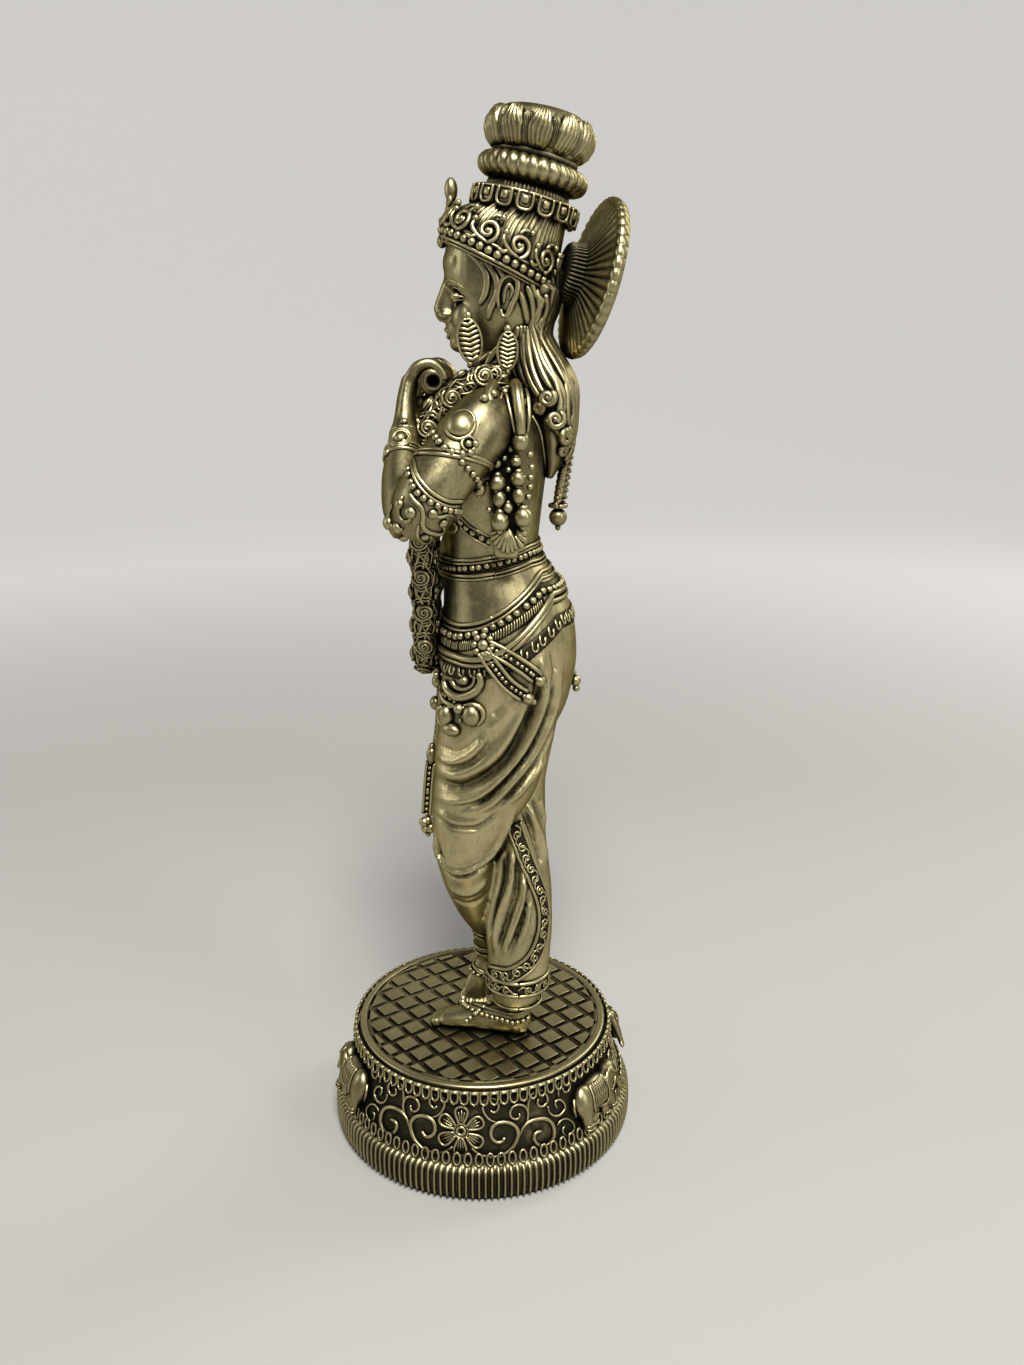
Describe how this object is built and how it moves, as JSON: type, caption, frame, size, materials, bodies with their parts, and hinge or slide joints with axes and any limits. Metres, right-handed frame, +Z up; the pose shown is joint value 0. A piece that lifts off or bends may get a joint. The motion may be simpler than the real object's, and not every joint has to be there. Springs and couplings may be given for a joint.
{
  "type": "krishna statue",
  "caption": "Standing brass figure playing a flute, legs crossed at the ankle, with a fluted halo disc, on a round ornamented plinth.",
  "frame": {"origin": "centre of the plinth's underside", "axes": "+Z up, -Y is the figure's front, +X is its left side"},
  "size_m": [0.1056, 0.1056, 0.3296],
  "materials": {
    "plinth_brass": "antique brass, near-black patina in the relief, rubbed olive-gold on the raised parts",
    "figure_brass": "antique brass, satin on the cloth and skin, near-black patina in the recesses",
    "halo_brass": "antique brass, dark between the flutes",
    "flute_brass": "antique brass, satin, dark in the bore"
  },
  "bodies": {
    "root": {"plinth": "plinth_brass", "figure": "figure_brass", "halo": "halo_brass", "flute": "flute_brass"}
  },
  "joints": []
}
